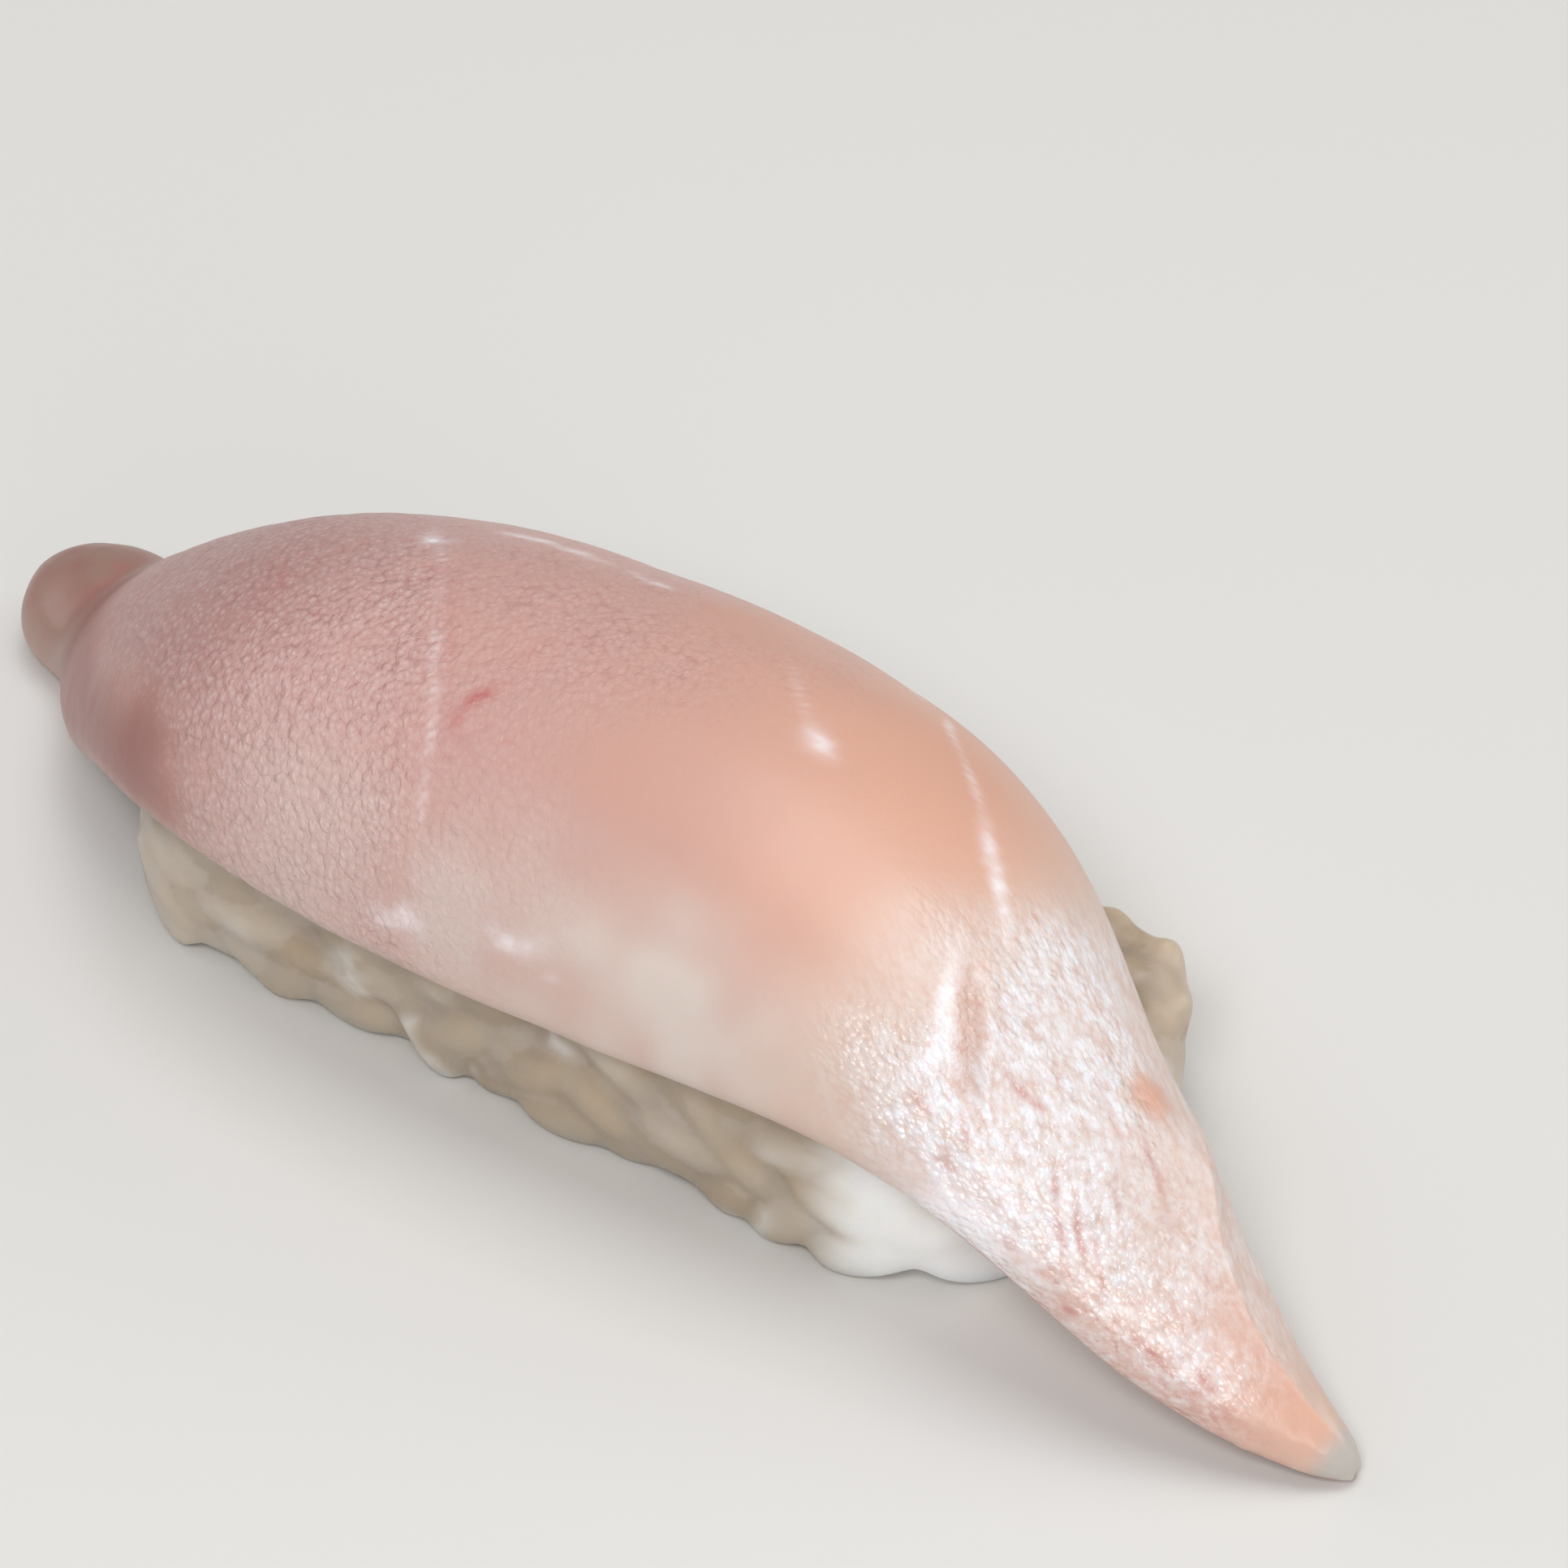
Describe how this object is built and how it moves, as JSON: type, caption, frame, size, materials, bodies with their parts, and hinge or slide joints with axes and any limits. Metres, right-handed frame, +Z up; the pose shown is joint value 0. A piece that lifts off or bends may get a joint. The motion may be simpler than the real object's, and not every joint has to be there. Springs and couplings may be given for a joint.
{
  "type": "tuna nigiri",
  "caption": "Tuna nigiri: a long pale tuna slice draped over a pressed block of rice, with a pointed tail at one end and a short folded tongue at the other.",
  "frame": {"origin": "centre of the whole piece's plan box, on the table under the rice", "axes": "+X along the slice to its pointed tail, -Y the long side with the lower rim that faces the viewer, +Z up from the table"},
  "size_m": [0.0954, 0.0296, 0.0216],
  "materials": {
    "fish": "moist, soft gloss",
    "rice": "moist, soft sheen"
  },
  "bodies": {
    "root": {"fish_slice": "fish", "rice": "rice"}
  },
  "joints": []
}
